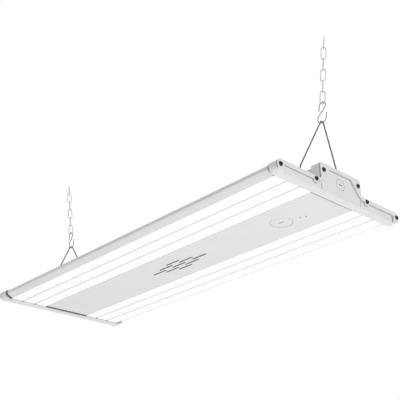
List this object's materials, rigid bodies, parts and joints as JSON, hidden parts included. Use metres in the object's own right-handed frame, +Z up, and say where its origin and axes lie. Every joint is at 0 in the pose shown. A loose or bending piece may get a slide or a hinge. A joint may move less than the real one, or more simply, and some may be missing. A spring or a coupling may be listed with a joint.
{
  "type": "hanging shop light",
  "caption": "Flat linear high-bay light with three opal diffuser strips on each side of a vented centre panel, hung from a wire V hanger, S hook and chain at each end.",
  "frame": {"origin": "middle of the light, on the plane of the end caps' undersides", "axes": "+X along the light towards the end with the sensor port, +Y across it, +Z up towards the chains"},
  "size_m": [0.6098, 0.2432, 0.2477],
  "materials": {
    "housing_paint": "white powder coat on an aluminium extrusion",
    "channel_paint": "white powder coat on folded aluminium sheet",
    "panel_paint": "white powder coat on aluminium sheet",
    "cap_plastic": "moulded, satin",
    "white_plastic": "moulded, matte",
    "opal_diffuser": "opal, lit from behind",
    "led_board": "white solder mask with yellow chips",
    "driver_case": "black anodised, satin",
    "rubber": "matte",
    "lead_sleeving": "satin",
    "dark_screws": "black oxide",
    "bright_screws": "zinc plated",
    "hanger_wire": "zinc plated wire, satin",
    "hook_wire": "zinc plated wire",
    "chain_wire": "bright zinc plated wire"
  },
  "bodies": {
    "housing": {"wing_left": "housing_paint", "wing_right": "housing_paint", "driver_channel": "channel_paint", "center_panel": "panel_paint", "sensor_port_plug": "white_plastic", "end_cap_left": "cap_plastic", "end_cap_right": "cap_plastic", "cord_grommet": "rubber", "entry_plug_right": "cap_plastic", "cap_screws_left": "dark_screws", "cap_screws_right": "dark_screws", "channel_screws": "bright_screws", "led_driver": "driver_case", "driver_screws": "bright_screws", "terminal_block": "white_plastic", "mains_leads": "lead_sleeving", "board_connectors": "white_plastic", "board_leads": "lead_sleeving", "diffuser_left_inner": "opal_diffuser", "diffuser_left_middle": "opal_diffuser", "diffuser_left_outer": "opal_diffuser", "led_board_left_inner": "led_board", "led_board_left_middle": "led_board", "led_board_left_outer": "led_board", "diffuser_right_inner": "opal_diffuser", "diffuser_right_middle": "opal_diffuser", "diffuser_right_outer": "opal_diffuser", "led_board_right_inner": "led_board", "led_board_right_middle": "led_board", "led_board_right_outer": "led_board"},
    "v_hanger_right": {"v_hanger_right": "hanger_wire"},
    "s_hook_right": {"s_hook_right": "hook_wire"},
    "chain_link_right_1": {"chain_link_right_1": "chain_wire"},
    "chain_link_right_2": {"chain_link_right_2": "chain_wire"},
    "chain_link_right_3": {"chain_link_right_3": "chain_wire"},
    "chain_link_right_4": {"chain_link_right_4": "chain_wire"},
    "chain_link_right_5": {"chain_link_right_5": "chain_wire"},
    "chain_link_right_6": {"chain_link_right_6": "chain_wire"},
    "v_hanger_left": {"v_hanger_left": "hanger_wire"},
    "s_hook_left": {"s_hook_left": "hook_wire"},
    "chain_link_left_1": {"chain_link_left_1": "chain_wire"},
    "chain_link_left_2": {"chain_link_left_2": "chain_wire"},
    "chain_link_left_3": {"chain_link_left_3": "chain_wire"},
    "chain_link_left_4": {"chain_link_left_4": "chain_wire"},
    "chain_link_left_5": {"chain_link_left_5": "chain_wire"},
    "chain_link_left_6": {"chain_link_left_6": "chain_wire"}
  },
  "joints": [
    {"name": "v_hanger_swing_right", "type": "hinge", "parent": "housing", "child": "v_hanger_right", "pos_m": [0.2709, 0, 0.0329], "axis": [0, 1, 0], "range_deg": [-74, 54]},
    {"name": "s_hook_swing_right", "type": "hinge", "parent": "v_hanger_right", "child": "s_hook_right", "pos_m": [0.28315, 0, 0.12004], "axis": [0, -1, 0], "range_deg": [-60, 60]},
    {"name": "link_1_swing_right", "type": "hinge", "parent": "s_hook_right", "child": "chain_link_right_1", "pos_m": [0.28711, 0, 0.14827], "axis": [0.9903, 0, -0.1392], "range_deg": [-45, 45]},
    {"name": "link_2_swing_right", "type": "hinge", "parent": "chain_link_right_1", "child": "chain_link_right_2", "pos_m": [0.28944, 0, 0.1648], "axis": [0.7002, 0.7071, -0.0984], "range_deg": [-60, 60]},
    {"name": "link_3_swing_right", "type": "hinge", "parent": "chain_link_right_2", "child": "chain_link_right_3", "pos_m": [0.29176, 0, 0.18134], "axis": [-0.7002, 0.7071, 0.0984], "range_deg": [-60, 60]},
    {"name": "link_4_swing_right", "type": "hinge", "parent": "chain_link_right_3", "child": "chain_link_right_4", "pos_m": [0.29409, 0, 0.19788], "axis": [-0.7002, -0.7071, 0.0984], "range_deg": [-60, 60]},
    {"name": "link_5_swing_right", "type": "hinge", "parent": "chain_link_right_4", "child": "chain_link_right_5", "pos_m": [0.29641, 0, 0.21442], "axis": [0.7002, -0.7071, -0.0984], "range_deg": [-60, 60]},
    {"name": "link_6_swing_right", "type": "hinge", "parent": "chain_link_right_5", "child": "chain_link_right_6", "pos_m": [0.29873, 0, 0.23095], "axis": [0.7002, 0.7071, -0.0984], "range_deg": [-60, 60]},
    {"name": "v_hanger_swing_left", "type": "hinge", "parent": "housing", "child": "v_hanger_left", "pos_m": [-0.2709, 0, 0.0329], "axis": [0, -1, 0], "range_deg": [-74, 54]},
    {"name": "s_hook_swing_left", "type": "hinge", "parent": "v_hanger_left", "child": "s_hook_left", "pos_m": [-0.28315, 0, 0.12004], "axis": [0, 1, 0], "range_deg": [-60, 60]},
    {"name": "link_1_swing_left", "type": "hinge", "parent": "s_hook_left", "child": "chain_link_left_1", "pos_m": [-0.28711, 0, 0.14827], "axis": [-0.9903, 0, -0.1392], "range_deg": [-45, 45]},
    {"name": "link_2_swing_left", "type": "hinge", "parent": "chain_link_left_1", "child": "chain_link_left_2", "pos_m": [-0.28944, 0, 0.1648], "axis": [0.7002, 0.7071, 0.0984], "range_deg": [-60, 60]},
    {"name": "link_3_swing_left", "type": "hinge", "parent": "chain_link_left_2", "child": "chain_link_left_3", "pos_m": [-0.29176, 0, 0.18134], "axis": [-0.7002, 0.7071, -0.0984], "range_deg": [-60, 60]},
    {"name": "link_4_swing_left", "type": "hinge", "parent": "chain_link_left_3", "child": "chain_link_left_4", "pos_m": [-0.29409, 0, 0.19788], "axis": [-0.7002, -0.7071, -0.0984], "range_deg": [-60, 60]},
    {"name": "link_5_swing_left", "type": "hinge", "parent": "chain_link_left_4", "child": "chain_link_left_5", "pos_m": [-0.29641, 0, 0.21442], "axis": [0.7002, -0.7071, 0.0984], "range_deg": [-60, 60]},
    {"name": "link_6_swing_left", "type": "hinge", "parent": "chain_link_left_5", "child": "chain_link_left_6", "pos_m": [-0.29873, 0, 0.23095], "axis": [0.7002, 0.7071, 0.0984], "range_deg": [-60, 60]}
  ]
}
